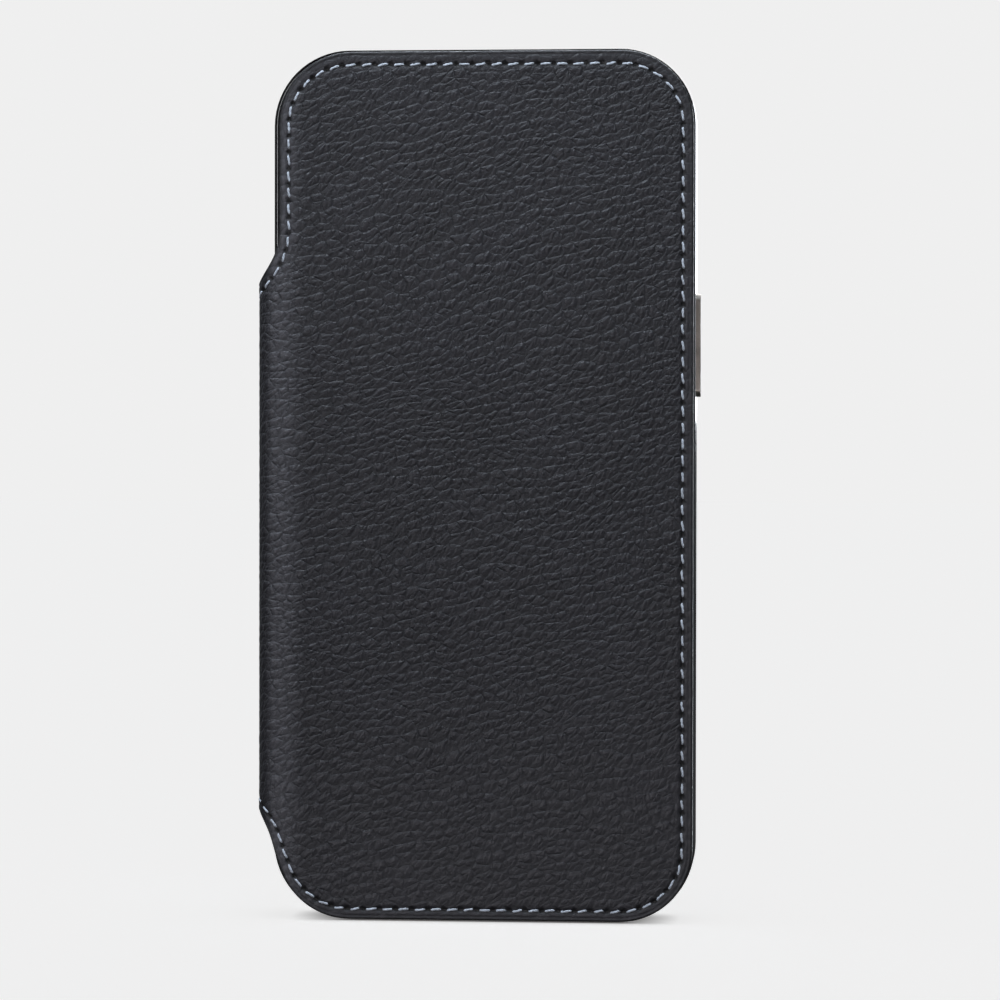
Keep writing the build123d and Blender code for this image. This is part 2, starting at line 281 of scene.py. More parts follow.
class Tree:
    """Short calls for wiring a node tree."""

    def __init__(self, tree):
        self.tree = tree

    def add(self, kind, inputs=None, **settings):
        node = self.tree.nodes.new(kind)
        for key, value in settings.items():
            setattr(node, key, value)
        for key, value in (inputs or {}).items():
            if isinstance(value, bpy.types.NodeSocket):
                self.tree.links.new(value, node.inputs[key])
            else:
                node.inputs[key].default_value = value
        return node

    def math(self, operation, *values):
        return self.add("ShaderNodeMath", dict(enumerate(values)), operation=operation).outputs[0]

    def plus(self, a, b):
        return self.math("ADD", a, b)

    def times(self, a, b):
        return self.math("MULTIPLY", a, b)

    def vector(self, operation, a, b):
        return self.add("ShaderNodeVectorMath", {0: a, 1: b}, operation=operation).outputs[0]

    def scaled(self, a, factor):
        inputs = {0: a, "Scale": factor}
        return self.add("ShaderNodeVectorMath", inputs, operation="SCALE").outputs[0]

    def ramp(self, value, low, high, to_low=0.0, to_high=1.0):
        """value taken smoothly from low..high to to_low..to_high."""
        inputs = {"Value": value, "From Min": low, "From Max": high, "To Min": to_low, "To Max": to_high}
        return self.add("ShaderNodeMapRange", inputs, interpolation_type="SMOOTHSTEP").outputs[0]

    def noise(self, place, scale, detail=2.0, roughness=0.5, output="Fac"):
        """Noise of about this many bumps to a millimetre."""
        inputs = {"Vector": place, "Scale": scale, "Detail": detail, "Roughness": roughness}
        return self.add("ShaderNodeTexNoise", inputs, noise_dimensions="3D").outputs[output]

    def turned(self, place, angle):
        """A place turned by this many degrees about Z."""
        inputs = {"Vector": place, "Angle": math.radians(angle)}
        return self.add("ShaderNodeVectorRotate", inputs, rotation_type="Z_AXIS").outputs[0]

    def cells(self, place, feature, randomness):
        """Flat Voronoi cells of about unit size."""
        inputs = {"Vector": place, "Scale": 1.0, "Randomness": randomness}
        return self.add("ShaderNodeTexVoronoi", inputs, voronoi_dimensions="2D", feature=feature)

    def mix(self, factor, a, b):
        """A colour between a and b."""
        node = self.add("ShaderNodeMix", {"Factor": factor}, data_type="RGBA")
        for socket, value in ((node.inputs[6], a), (node.inputs[7], b)):
            if isinstance(value, bpy.types.NodeSocket):
                self.tree.links.new(value, socket)
            else:
                socket.default_value = (*value, 1.0)
        return node.outputs[2]


# --- Leather grain ---

GRAIN_HEIGHT = 0.32
SWAY, WANDER = 7.0, 0.7  # how far the rows of grain bend, broadly and closely


def creases(tree, place, angle, length, width, randomness):
    """One set of pebbles in rows at this angle in degrees: the distance in mm to the nearest crease
    between them, and how far up its pebble a point is, from 0 at the foot to 1 at the head."""
    turned = tree.turned(place, -angle)
    fitted = tree.vector("MULTIPLY", turned, (1 / length, 1 / width, 0.0))
    gap = tree.cells(fitted, "DISTANCE_TO_EDGE", randomness).outputs["Distance"]
    middle = tree.cells(fitted, "F1", randomness).outputs["Position"]
    offset = tree.add("ShaderNodeSeparateXYZ", {0: tree.vector("SUBTRACT", fitted, middle)})
    return tree.times(gap, width), tree.ramp(offset.outputs[1], -0.55, 0.5)


def grain_cells(tree, place):
    """The grain's two sets of creases: long rows that rise to the right, and shorter ones across
    them. place is on the flat hide, in mm."""
    sway = tree.vector("SUBTRACT", tree.noise(place, 0.028, 1.0, 0.4, "Color"), (0.5, 0.5, 0.5))
    wander = tree.vector("SUBTRACT", tree.noise(place, 0.25, 1.0, 0.5, "Color"), (0.5, 0.5, 0.5))
    bent = tree.vector("ADD", place, tree.scaled(sway, SWAY))
    bent = tree.vector("ADD", bent, tree.scaled(wander, WANDER))
    return creases(tree, bent, 15.0, 2.7, 1.8, 0.8), creases(tree, bent, 62.0, 2.1, 1.1, 0.85)


def swell(tree, distance, reach):
    """0 in a crease, rising to 1 over about this distance."""
    return tree.math("SUBTRACT", 1.0, tree.math("EXPONENT", tree.math("DIVIDE", distance, -reach)))


def pebble(tree, cell, reach, foot):
    """A pebble's height, 0 to 1: high at its head, and down to foot at its foot, as scales are."""
    distance, up = cell
    lean = tree.plus(foot, tree.times(up, 1 - foot))
    return tree.times(swell(tree, distance, reach), lean)


def grain_swell(tree, place):
    """The broad shape of the pebbles, 0 to 1, for the mesh."""
    long_cell, cross_cell = grain_cells(tree, place)
    return tree.plus(
        tree.times(pebble(tree, long_cell, 0.4, 0.25), 0.65),
        tree.times(pebble(tree, cross_cell, 0.35, 0.3), 0.35),
    )


def grain_height(tree, place):
    """For the shader, the grain's height in mm, with fine wrinkles and pores, and the pebbles'
    share of it, 0 to 1."""
    long_cell, cross_cell = grain_cells(tree, place)
    pebbles = tree.plus(
        tree.times(pebble(tree, long_cell, 0.16, 0.15), 0.6),
        tree.times(pebble(tree, cross_cell, 0.12, 0.2), 0.4),
    )
    wrinkles = pebble(tree, creases(tree, place, 35.0, 1.1, 0.72, 1.0), 0.09, 0.3)
    pores = tree.noise(place, 2.1, 2.0, 0.6)
    fine = tree.plus(tree.times(wrinkles, 0.05), tree.times(pores, 0.13))
    return tree.plus(tree.times(pebbles, GRAIN_HEIGHT), fine), pebbles


def measured_grain(points):
    """The pebbles' broad shape at these points on the flat hide, worked out by the same nodes that
    the leather's material uses."""
    mesh = bpy.data.meshes.new("grain_probe")
    mesh.vertices.add(len(points))
    flat = np.zeros((len(points), 3), np.float32)
    flat[:, :2] = points
    mesh.vertices.foreach_set("co", flat.ravel())
    probe = add_object("grain_probe", mesh)
    group = bpy.data.node_groups.new("grain_probe", "GeometryNodeTree")
    group.interface.new_socket("Geometry", in_out="INPUT", socket_type="NodeSocketGeometry")
    group.interface.new_socket("Geometry", in_out="OUTPUT", socket_type="NodeSocketGeometry")
    tree = Tree(group)
    source = tree.add("NodeGroupInput")
    place = tree.add("GeometryNodeInputPosition").outputs[0]
    lift = tree.add("ShaderNodeCombineXYZ", {2: grain_swell(tree, place)})
    moved = tree.add(
        "GeometryNodeSetPosition", {"Geometry": source.outputs[0], "Offset": lift.outputs[0]}
    )
    tree.add("NodeGroupOutput", {0: moved.outputs[0]})
    probe.modifiers.new("grain", "NODES").node_group = group
    bpy.context.view_layer.update()
    made = probe.evaluated_get(bpy.context.evaluated_depsgraph_get()).data
    co = np.zeros(len(points) * 3, np.float32)
    made.vertices.foreach_get("co", co)
    bpy.data.objects.remove(probe)
    bpy.data.meshes.remove(mesh)
    bpy.data.node_groups.remove(group)
    return co.reshape(-1, 3)[:, 2].astype(float)


# --- Materials ---


def new_material(name):
    """An empty material: (material, tree, shader)."""
    made = bpy.data.materials.new(name)
    made.use_nodes = True
    tree = Tree(made.node_tree)
    shader = made.node_tree.nodes["Principled BSDF"]
    return made, tree, shader


def link(tree, shader, **sockets):
    """Wires or sets a shader's sockets; _ in a name stands for a space."""
    for name, value in sockets.items():
        socket = shader.inputs[name.replace("_", " ")]
        if isinstance(value, bpy.types.NodeSocket):
            tree.tree.links.new(value, socket)
        elif isinstance(value, tuple):
            socket.default_value = (*value, 1.0) if len(value) == 3 else value
        else:
            socket.default_value = value


def attribute(tree, name, output="Vector"):
    return tree.add("ShaderNodeAttribute", attribute_name=name).outputs[output]


def bump(tree, height_mm):
    """A bump node's normal for a height in millimetres."""
    inputs = {"Height": tree.times(height_mm, MM), "Distance": 1.0, "Strength": 1.0}
    return tree.add("ShaderNodeBump", inputs).outputs[0]


PAINTED_CREST_HIGHLIGHT = (0.050, 0.049, 0.055)  # a painted highlight along the fold's crest
PAINTED_PIT_SHADE = (0.0005, 0.0005, 0.0005)  # painted shade down a needle hole


def leather_material(name, tint, bright, grain=1.0):
    """Milled leather: grain that is shallower low down and to the right, and fades into a pressed band
    along the edge, an inked edge, a painted highlight along the fold's crest, painted shade in the
    grain's creases with a painted highlight on the pebbles' heads, and painted shade in the pits where
    the thread goes down."""
    made, tree, shader = new_material(name)
    place = attribute(tree, "hide")
    edge = attribute(tree, "edge", "Fac")
    pit = attribute(tree, "pit", "Fac")
    height, pebbles = grain_height(tree, place)
    band = tree.ramp(edge, 1.7, 3.6, 0.45, 1.0)
    rub = tree.ramp(edge, 0.1, 0.9)
    parts = tree.add("ShaderNodeSeparateXYZ", {0: place}).outputs
    across, level = parts[0], parts[1]
    slant = tree.math("SUBTRACT", level, tree.times(across, 0.4))
    calm = tree.ramp(slant, -12.0, 78.0, 0.42 * grain, grain)
    height = tree.times(tree.times(height, band), calm)
    blotch = tree.noise(place, 0.06, 3.0, 0.55)
    # The leather's own blotchy tone, plus painted shade in the grain's creases and a painted highlight
    # toward each pebble's upper head
    shade = tree.plus(tree.times(pebbles, 0.5), tree.times(blotch, 0.8))
    colour = tree.mix(tree.ramp(shade, 0.35, 1.1), tint, bright)
    # A painted highlight along the fold's crest, stronger on the pebbles' heads
    dirt_and_highlight = tree.times(
        tree.ramp(across, fold.start - fold.distance_at(1.6), fold.start - fold.distance_at(3.6)),
        tree.ramp(across, fold.start - 1.0, fold.start + 4.0, 1.0, 0.0),
    )
    colour = tree.mix(tree.times(dirt_and_highlight, tree.ramp(pebbles, 0.1, 0.9, 0.5, 1.0)), colour, PAINTED_CREST_HIGHLIGHT)
    inked = tree.mix(rub, tuple(c * 0.6 for c in tint), colour)
    # Painted shade down the needle holes
    holed = tree.mix(tree.ramp(pit, 0.0, 0.6), inked, PAINTED_PIT_SHADE)
    smear = tree.noise(place, 0.5, 3.0, 0.6)
    gloss = tree.plus(tree.times(smear, 0.16), tree.ramp(pebbles, 0.2, 0.9, 0.52, 0.40))
    link(tree, shader, Base_Color=holed, Roughness=gloss, Normal=bump(tree, height))
    link(tree, shader, Sheen_Weight=0.06, Sheen_Roughness=0.5, Specular_IOR_Level=0.42)
    return made


def thread_material():
    """Pale grey waxed thread with fine fibres along its twist."""
    made, tree, shader = new_material("thread_waxed")
    place = attribute(tree, "hide")
    fibre = tree.noise(place, 9.0, 3.0, 0.65)
    soil = tree.noise(place, 0.5, 2.0, 0.5)
    pale = tree.mix(tree.ramp(fibre, 0.3, 0.7), (0.25, 0.28, 0.32), (0.60, 0.65, 0.72))
    dirt_and_highlight = tree.mix(tree.ramp(soil, 0.45, 0.8, 0.0, 0.35), pale, (0.20, 0.21, 0.23))
    link(tree, shader, Base_Color=dirt_and_highlight, Roughness=0.72, Normal=bump(tree, tree.times(fibre, 0.06)))
    link(tree, shader, Sheen_Weight=0.25, Sheen_Roughness=0.4)
    return made


def microfibre_material(name, dark, pale):
    """Brushed microfibre: a short nap with soft streaks."""
    made, tree, shader = new_material(name)
    place = attribute(tree, "hide")
    nap = tree.noise(tree.vector("MULTIPLY", place, (1.0, 0.35, 1.0)), 3.2, 4.0, 0.7)
    stroke = tree.noise(place, 0.07, 3.0, 0.6)
    shade = tree.plus(tree.times(nap, 0.75), tree.times(stroke, 0.25))
    colour = tree.mix(tree.ramp(shade, 0.35, 0.68), dark, pale)
    link(tree, shader, Base_Color=colour, Roughness=0.92, Normal=bump(tree, tree.times(nap, 0.09)))
    link(tree, shader, Sheen_Weight=0.6, Sheen_Roughness=0.35, Specular_IOR_Level=0.2)
    return made


def object_place(tree):
    """The row frame's place in millimetres, for CAD nodes, whose objects sit at the origin."""
    return tree.scaled(tree.add("ShaderNodeTexCoord").outputs["Object"], 1 / MM)


def plastic_material():
    """Glossy black polycarbonate with faint moulding flow and rubbed patches."""
    made, tree, shader = new_material("polycarbonate_gloss")
    place = object_place(tree)
    ripple = tree.noise(place, 0.12, 2.0, 0.5)
    haze = tree.noise(place, 1.1, 4.0, 0.62)
    colour = tree.mix(ripple, (0.0045, 0.0045, 0.005), (0.008, 0.008, 0.0095))
    link(tree, shader, Base_Color=colour, Roughness=tree.ramp(haze, 0.3, 0.75, 0.13, 0.19))
    link(tree, shader, Specular_IOR_Level=0.55, Normal=bump(tree, tree.times(ripple, 0.004)))
    return made


def metal_material(name, dark, pale, roughness):
    """Bead-blasted anodised aluminium, a little rubbed."""
    made, tree, shader = new_material(name)
    place = object_place(tree)
    blast = tree.noise(place, 7.0, 3.0, 0.7)
    rub = tree.noise(place, 0.35, 3.0, 0.55)
    gloss = tree.ramp(rub, 0.3, 0.75, roughness + 0.05, roughness - 0.05)
    link(tree, shader, Base_Color=tree.mix(tree.ramp(rub, 0.3, 0.75), dark, pale), Metallic=1.0)
    link(tree, shader, Roughness=gloss, Normal=bump(tree, tree.times(blast, 0.006)))
    return made


def silicone_material():
    """Matt black silicone with a fine bloom."""
    made, tree, shader = new_material("silicone_matt")
    place = object_place(tree)
    bloom = tree.noise(place, 1.6, 4.0, 0.6)
    link(tree, shader, Base_Color=tree.mix(bloom, (0.010, 0.010, 0.011), (0.022, 0.022, 0.024)))
    gloss = tree.ramp(bloom, 0.3, 0.7, 0.55, 0.7)
    link(tree, shader, Roughness=gloss, Normal=bump(tree, tree.times(bloom, 0.01)))
    return made


def board_material():
    """Grey fibre board with short flecks."""
    made, tree, shader = new_material("fibre_board")
    place = object_place(tree)
    flecks = tree.noise(tree.vector("MULTIPLY", place, (0.4, 1.0, 1.6)), 2.2, 5.0, 0.75)
    colour = tree.mix(tree.ramp(flecks, 0.3, 0.7), (0.16, 0.155, 0.145), (0.33, 0.32, 0.30))
    link(tree, shader, Base_Color=colour, Roughness=0.86, Normal=bump(tree, tree.times(flecks, 0.05)))
    return made


LEATHER = leather_material("leather_milled", (0.0068, 0.0063, 0.0083), (0.0118, 0.0112, 0.0150))
POCKET_LEATHER = leather_material(
    "leather_pocket", (0.0065, 0.0066, 0.008), (0.011, 0.0112, 0.013), grain=0.55
)
THREAD_GREY = thread_material()
MICROFIBRE = microfibre_material("microfibre_grey_nap", (0.055, 0.056, 0.060), (0.105, 0.107, 0.112))

cad_looks = {
    "polycarbonate_black": plastic_material(),
    "frame_anodised": metal_material(
        "anodised_black", (0.035, 0.036, 0.040), (0.055, 0.056, 0.060), 0.34
    ),
    "magnet_nickel": metal_material("nickel_plate", (0.42, 0.41, 0.38), (0.58, 0.57, 0.54), 0.24),
    "button_tan": metal_material("anodised_tan", (0.24, 0.215, 0.185), (0.33, 0.30, 0.26), 0.42),
    "button_silver": metal_material("anodised_silver", (0.62, 0.62, 0.61), (0.78, 0.78, 0.77), 0.36),
    "silicone_black": silicone_material(),
    "board_grey": board_material(),
}
for node in nodes.values():
    for holder in node.material_slots:
        if holder.material and holder.material.name in cad_looks:
            holder.material = cad_looks[holder.material.name]


# --- Making sheets ---

# How far the leather's face lies under its crown, by distance from the edge: the rounded and inked
# edge, the creased line and the pressed band
EDGE_SHAPE = np.array(
    [(0.0, 0.34), (0.07, 0.17), (0.18, 0.06), (0.34, 0.0), (0.5, 0.03), (0.66, 0.10), (0.85, 0.05)]
    + [(inset, 0.0) for inset in (1.15, 1.45, 1.75, 2.05, 2.35, 2.65, 3.0, 3.4)]
)
# The groove that the thread is pulled into, by distance from the row
GROOVE_SHAPE = np.array([(0.0, 0.20), (0.2, 0.16), (0.4, 0.08), (0.65, 0.03), (1.0, 0.0)])
PLAIN_EDGE = np.array([(0.0, 0.12), (0.1, 0.03), (0.3, 0.0), (0.7, 0.0)])
GRAIN_SHARE = 0.3  # how much of the grain's height is in the mesh
PIT_DEPTH = 0.5  # a needle hole's
PIT_REACH = 0.55
BACK_SPACING = 3.0  # between the points of a sheet's plain inner face
BEND_SPACING = 0.8  # the same where the hide bends round the fold
FINE = 0.12  # between the points that stand for an edge when distances from it are found
FAR = 7.0  # distances from an edge are only worked out up to this


def hex_grid(low, high, spacing):
    """Points of an even triangular grid over a rectangle."""
    rows = np.arange(low[1], high[1], spacing * math.sqrt(3) / 2)
    columns = np.arange(low[0], high[0] + spacing, spacing)
    u, z = np.meshgrid(columns, rows)
    u = u + (np.arange(len(rows)) % 2)[:, None] * spacing / 2
    return np.stack([u.ravel(), z.ravel()], 1)


def tree_of(places):
    """A search tree of flat places."""
    tree = KDTree(len(places))
    for i, p in enumerate(places):
        tree.insert((p[0], p[1], 0), i)
    tree.balance()
    return tree


def signed_distance(points, line, normals):
    """How far inside the line each point is."""
    tree = tree_of(line)
    out = np.empty(len(points))
    for k, p in enumerate(points):
        _, i, distance = tree.find((p[0], p[1], 0))
        side = (p[0] - line[i][0]) * normals[i][0] + (p[1] - line[i][1]) * normals[i][1]
        out[k] = math.copysign(distance, side)
    return np.minimum(out, FAR)


def distances(points, targets):
    """How far each point is from the nearest target."""
    tree = tree_of(targets)
    return np.array([tree.find((p[0], p[1], 0))[2] for p in points])


def triangles(points, loops, region):
    """Triangles between the points, inside the outer loop and clear of the region's holes. Each
    loop is a range of the points."""
    edges = []
    for start, stop in loops:
        edges += [(i, i + 1) for i in range(start, stop - 1)] + [(stop - 1, start)]
    verts = [Vector((p[0], p[1])) for p in points]
    _, _, made, source, _, _ = delaunay_2d_cdt(verts, edges, [], 4, 1e-6)
    old = [s[0] if s else -1 for s in source]
    named = [[old[i] for i in face] for face in made]
    faces = [face for face in named if -1 not in face and len(set(face)) == 3]
    if region.holes:
        clear = region.from_holes(np.asarray(points)[np.array(faces)].mean(1)) > 0
        faces = [face for face, kept in zip(faces, clear) if kept]
    return faces


class Region:
    """A piece of flat hide: its edge, any hole, and how far inside the edge a point is. edge is an
    open line that ends on the cut at the spine's middle, or a closed loop."""

    def __init__(self, edge, closed, cut=None, holes=()):
        self.closed = closed
        self.edge = edge
        self.cut = cut
        self.fine = self.along(FINE)
        self.normals = normals_of(self.fine, closed)
        self.holes = [(h, -normals_of(h, True)) for h in holes]

    def along(self, spacing):
        """The edge as evenly spaced points."""
        if self.closed:
            return resample(np.vstack([self.edge, self.edge[:1]]), spacing)[:-1]
        return resample(self.edge, spacing)

    def from_edge(self, points):
        """How far inside the outer edge each point is."""
        return signed_distance(points, self.fine, self.normals)

    def from_holes(self, points):
        """How far outside the holes each point is."""
        d = np.full(len(points), FAR)
        for hole, normals in self.holes:
            d = np.minimum(d, signed_distance(points, hole, normals))
        return d

    def inside(self, points):
        return np.minimum(self.from_edge(points), self.from_holes(points))

    def area(self):
        """The flat area in square millimetres."""
        total = 0.0
        for sign, line in [(1, self.loop(1.0))] + [(-1, h) for h, _ in self.holes]:
            x, z = line.T
            total += sign * abs(np.sum(x * np.roll(z, -1) - z * np.roll(x, -1))) / 2
        return total

    def loop(self, spacing):
        """The closed boundary, clockwise, with points on the cut where there is one."""
        line = self.along(spacing)
        if self.closed:
            return line
        insets = EDGE_SHAPE[1:, 0]
        steps = np.arange(SPINE_BOTTOM + 3.6, SPINE_TOP - 3.5, spacing)
        ends = [SPINE_BOTTOM], SPINE_BOTTOM + insets, steps, SPINE_TOP - insets[::-1], [SPINE_TOP]
        z = np.concatenate(ends)
        cut = np.stack([np.full(len(z), self.cut), z], 1)
        return np.vstack([cut, line[line[:, 0] > self.cut + 1e-6]])

    def rings(self, insets, spacing):
        """Points at each inset from the edge, and at the first few from the holes."""
        line = self.along(spacing)
        inward = normals_of(line, self.closed)
        out = [line + inward * inset for inset in insets]
        if self.cut is not None:
            out = [ring[ring[:, 0] > self.cut + spacing * 0.4] for ring in out]
        rings = np.vstack(out)
        rings = rings[self.from_holes(rings) > 0.75]
        for hole, normals in self.holes:
            for inset in PLAIN_EDGE[1:, 0]:
                ring = hole + normals * inset
                rings = np.vstack([rings, ring[self.from_edge(ring) > 0.2]])
        return rings


def in_bend(points):
    """Whether each point is on the fold or within 1 mm of it."""
    past = fold.start - points[:, 0]
    return (past > -1.0) & (past < fold.length + 1.0)


def build_sheet(
    name, region, spacing, shape, thickness, place, grain_share=0.0, row=None, pits=None, hide=None
):
    """A closed sheet with a detailed outer face and a plain inner one. shape is how far the outer
    face lies under its crown by distance from the edge; thickness is a number, or works it out for
    points; place(u, z, depth) gives points in the row frame; row is a line of thread and pits its
    holes; and hide(points) gives the places on the flat hide that the grain follows."""
    insets = shape[1:, 0]
    loop = region.loop(spacing)
    hole_loops = [h for h, _ in region.holes]
    rings = region.rings(insets, spacing)
    low, high = loop.min(0), loop.max(0)

    def grid_of(gap, clear):
        """An even grid of points, this far inside the edge and clear of the cut."""
        grid = hex_grid(low, high, gap)
        grid = grid[region.inside(grid) > clear]
        return grid if region.cut is None else grid[grid[:, 0] > region.cut + 0.5 * gap]

    outer = np.vstack([loop, *hole_loops, rings, grid_of(spacing, insets[-1] + 0.55 * spacing)])
    plain = grid_of(BACK_SPACING, 0.5 * BACK_SPACING)
    if region.cut is not None:
        bend = grid_of(BEND_SPACING, 0.5 * BEND_SPACING)
        plain = np.vstack([plain[~in_bend(plain)], bend[in_bend(bend)]])
    inner = np.vstack([loop, *hole_loops, plain])

    loops, start = [], 0
    for part in [loop, *hole_loops]:
        loops.append((start, start + len(part)))
        start += len(part)
    rim = start

    d = region.from_edge(outer)
    on_edge = outer[: len(loop), 0] > (region.cut + 1e-6 if region.cut is not None else -1e9)
    d[: len(loop)] = np.where(on_edge, 0, d[: len(loop)])
    d = np.maximum(d, 0)
    depth = np.interp(d, shape[:, 0], shape[:, 1])
    if region.holes:
        past_hole = np.maximum(region.from_holes(outer), 0)
        depth = np.maximum(depth, np.interp(past_hole, PLAIN_EDGE[:, 0], PLAIN_EDGE[:, 1]))
    if grain_share:
        swell_here = measured_grain(hide(outer)[:, :2] if hide else outer)
        fade = np.clip((d - 1.9) / 1.9, 0, 1)
        depth += (1 - swell_here) * GRAIN_HEIGHT * grain_share * fade * fade * (3 - 2 * fade)
    near_row = (d > 0.7) & (d < 4.2)
    if row is not None:
        groove = np.interp(distances(outer[near_row], row), GROOVE_SHAPE[:, 0], GROOVE_SHAPE[:, 1])
        depth[near_row] += groove
    pit = np.zeros(len(outer))
    if pits is not None and len(pits):
        pit[near_row] = np.clip(1 - (distances(outer[near_row], pits) / PIT_REACH) ** 2, 0, 1)
        depth += PIT_DEPTH * pit

    under = thickness(inner) if callable(thickness) else np.full(len(inner), float(thickness))
    outer_points = place(outer[:, 0], outer[:, 1], depth)
    inner_points = place(inner[:, 0], inner[:, 1], under)
    faces = [tuple(reversed(f)) for f in triangles(outer, loops, region)]
    offset = len(outer)
    faces += [tuple(i + offset for i in f) for f in triangles(inner, loops, region)]
    for a, b in loops:
        for i in range(a, b):
            j = i + 1 if i + 1 < b else a
            faces.append((i, j, j + offset, i + offset))
    mesh = bpy.data.meshes.new(name)
    mesh.from_pydata((np.vstack([outer_points, inner_points]) * MM).tolist(), [], faces)
    made = add_object(name, mesh)
    tidy_normals(mesh)
    flat = np.vstack([outer, inner])
    on = hide(flat) if hide else np.column_stack([flat, np.zeros(len(flat))])
    set_vector(mesh, "hide", on)
    set_float(mesh, "edge", np.concatenate([d, np.full(len(inner), 0.3)]))
    set_float(mesh, "pit", np.concatenate([pit, np.zeros(len(inner))]))
    sharpen(mesh, rim, offset)
    made["flat_size"] = [float(x) * MM for x in high - low]
    made["flat_area"] = float(region.area()) * MM * MM
    return made


def tidy_normals(mesh):
    """Makes every face smooth, facing outward."""
    work = bmesh.new()
    work.from_mesh(mesh)
    bmesh.ops.recalc_face_normals(work, faces=work.faces)
    work.to_mesh(mesh)
    work.free()
    mesh.shade_smooth()


def sharpen(mesh, rim, offset):
    """Sharp edges where a sheet's faces meet its side. The first rim points of each face are its
    edge, and the second face's points start at offset."""
    pairs = np.zeros(len(mesh.edges) * 2, np.int32)
    mesh.edges.foreach_get("vertices", pairs)
    a, b = pairs.reshape(-1, 2).T
    sharp = ((a < rim) & (b < rim)) | (
        (a >= offset) & (a < offset + rim) & (b >= offset) & (b < offset + rim)
    )
    made = mesh.attributes.new("sharp_edge", "BOOLEAN", "EDGE")
    made.data.foreach_set("value", sharp)


def set_vector(mesh, name, values):
    full = np.zeros((len(values), 3), np.float32)
    full[:, : values.shape[1]] = values
    mesh.attributes.new(name, "FLOAT_VECTOR", "POINT").data.foreach_set("vector", full.ravel())


def set_float(mesh, name, values):
    made = mesh.attributes.new(name, "FLOAT", "POINT")
    made.data.foreach_set("value", np.asarray(values, np.float32))


def dress(obj, look):
    """Gives a new piece its material."""
    obj.data.materials.append(look)


# --- Stitches ---


def stitch_places(line, first, pitch):
    """(centre, direction) of each stitch, and the holes between, along a line on the flat hide."""
    s = np.concatenate([[0], np.cumsum(np.hypot(*np.diff(line, axis=0).T))])
    count = int((s[-1] - first) / pitch)
    centres = first + pitch * (np.arange(count) + 0.5)
    ends = first + pitch * np.arange(count + 1)

    def at(x):
        return np.stack([np.interp(x, s, line[:, k]) for k in (0, 1)], 1)

    direction = at(np.minimum(centres + 0.4, s[-1])) - at(centres - 0.4)
    direction /= np.linalg.norm(direction, axis=1)[:, None]
    return at(centres), direction, at(ends)


def build_thread(name, centres, directions, place, depth, slant, seed):
    """One short twisted length of thread for each stitch, going down into its holes. place says
    where, as for a sheet; depth is how far under the face its middle lies; slant is in degrees."""
    random = np.random.default_rng(seed)
    around, along = 10, 15
    verts, faces, hides = [], [], []
    steps = np.linspace(-1, 1, along)
    angle = np.linspace(0, 2 * math.pi, around, endpoint=False)
    for centre, direction in zip(centres, directions):
        turn = math.radians(slant + random.normal(0, 1.6))
        c, s = math.cos(turn), math.sin(turn)
        x, z = direction
        ahead = np.array([x * c - z * s, x * s + z * c])
        across = np.array([-ahead[1], ahead[0]])
        centre = centre + across * random.normal(0, 0.03)
        half = (STITCH_SEEN / 2 + 0.12) * (1 + random.normal(0, 0.02))
        twist = random.uniform(0, 2 * math.pi)
        start = len(verts)
        for k, t in enumerate(steps):
            sink = depth + 0.48 * abs(t) ** 5 + 0.05 * t * t
            radius = THREAD / 2 * (1 - 0.25 * abs(t) ** 4)
            spin = twist + t * half * 3.4
            lobes = 1 + 0.13 * np.cos(2 * (angle - spin))
            side = radius * lobes * np.cos(angle)
            up = radius * 0.82 * lobes * np.sin(angle)
            bow = 0.05 * math.sin(2.2 * t + twist)
            for m in range(around):
                p = centre + ahead * (t * half) + across * (side[m] + bow)
                verts.append((p[0], p[1], sink - up[m]))
                hides.append((p[0], t * half * 0.35 + centre[1], angle[m] * 0.4))
        for k in range(along - 1):
            for m in range(around):
                a = start + k * around + m
                b = start + k * around + (m + 1) % around
                faces.append((a, b, b + around, a + around))
        faces.append(tuple(start + m for m in reversed(range(around))))
        faces.append(tuple(start + (along - 1) * around + m for m in range(around)))
    flat = np.array(verts)
    mesh = bpy.data.meshes.new(name)
    mesh.from_pydata((place(flat[:, 0], flat[:, 1], flat[:, 2]) * MM).tolist(), [], faces)
    made = add_object(name, mesh)
    tidy_normals(mesh)
    set_vector(mesh, "hide", np.array(hides))
    dress(made, THREAD_GREY)
    return made


# --- The folio's leather, from the front round the spine to the back ---


def hide_of(mirrored):
    """The place on the whole hide, laid flat, so that the grain runs across the spine's middle."""

    def place(points):
        u = points[:, 0]
        u = 2 * u_middle - u if mirrored else u
        return np.column_stack([u, points[:, 1], np.zeros(len(points))])

    return place


def row_line(line):
    """The line of a panel's row of thread, moved in from its edge by each side's inset."""
    even = resample(line, 0.2)
    inward = normals_of(even)
    share = {
        "left": np.maximum(inward[:, 0], 0) ** 2,
        "right": np.minimum(inward[:, 0], 0) ** 2,
        "top": np.minimum(inward[:, 1], 0) ** 2,
        "bottom": np.maximum(inward[:, 1], 0) ** 2,
    }
    inset = sum(ROW_INSET[side] * share[side] for side in ROW_INSET)
    return soften(resample(even + inward * inset[:, None], 0.2), 6)


def trim(line, cut):
    """The part of a line on the panel's side of the cut."""
    return line[line[:, 0] >= cut - 1e-6]


SPACING = 0.47

cover_edge = panel_line(COVER_LEFT, COVER_LOW_LEFT, flap_high[0], flap_low[2], flap_high[2])
back_edge = panel_line(BACK_LEFT, BACK_LEFT, back_high[0], back_low[2], back_high[2])
cover_edge = soften(resample(cover_edge, 0.3), 12)
back_edge = soften(resample(back_edge, 0.3), 12)

CAMERA_CORNER = 12.6


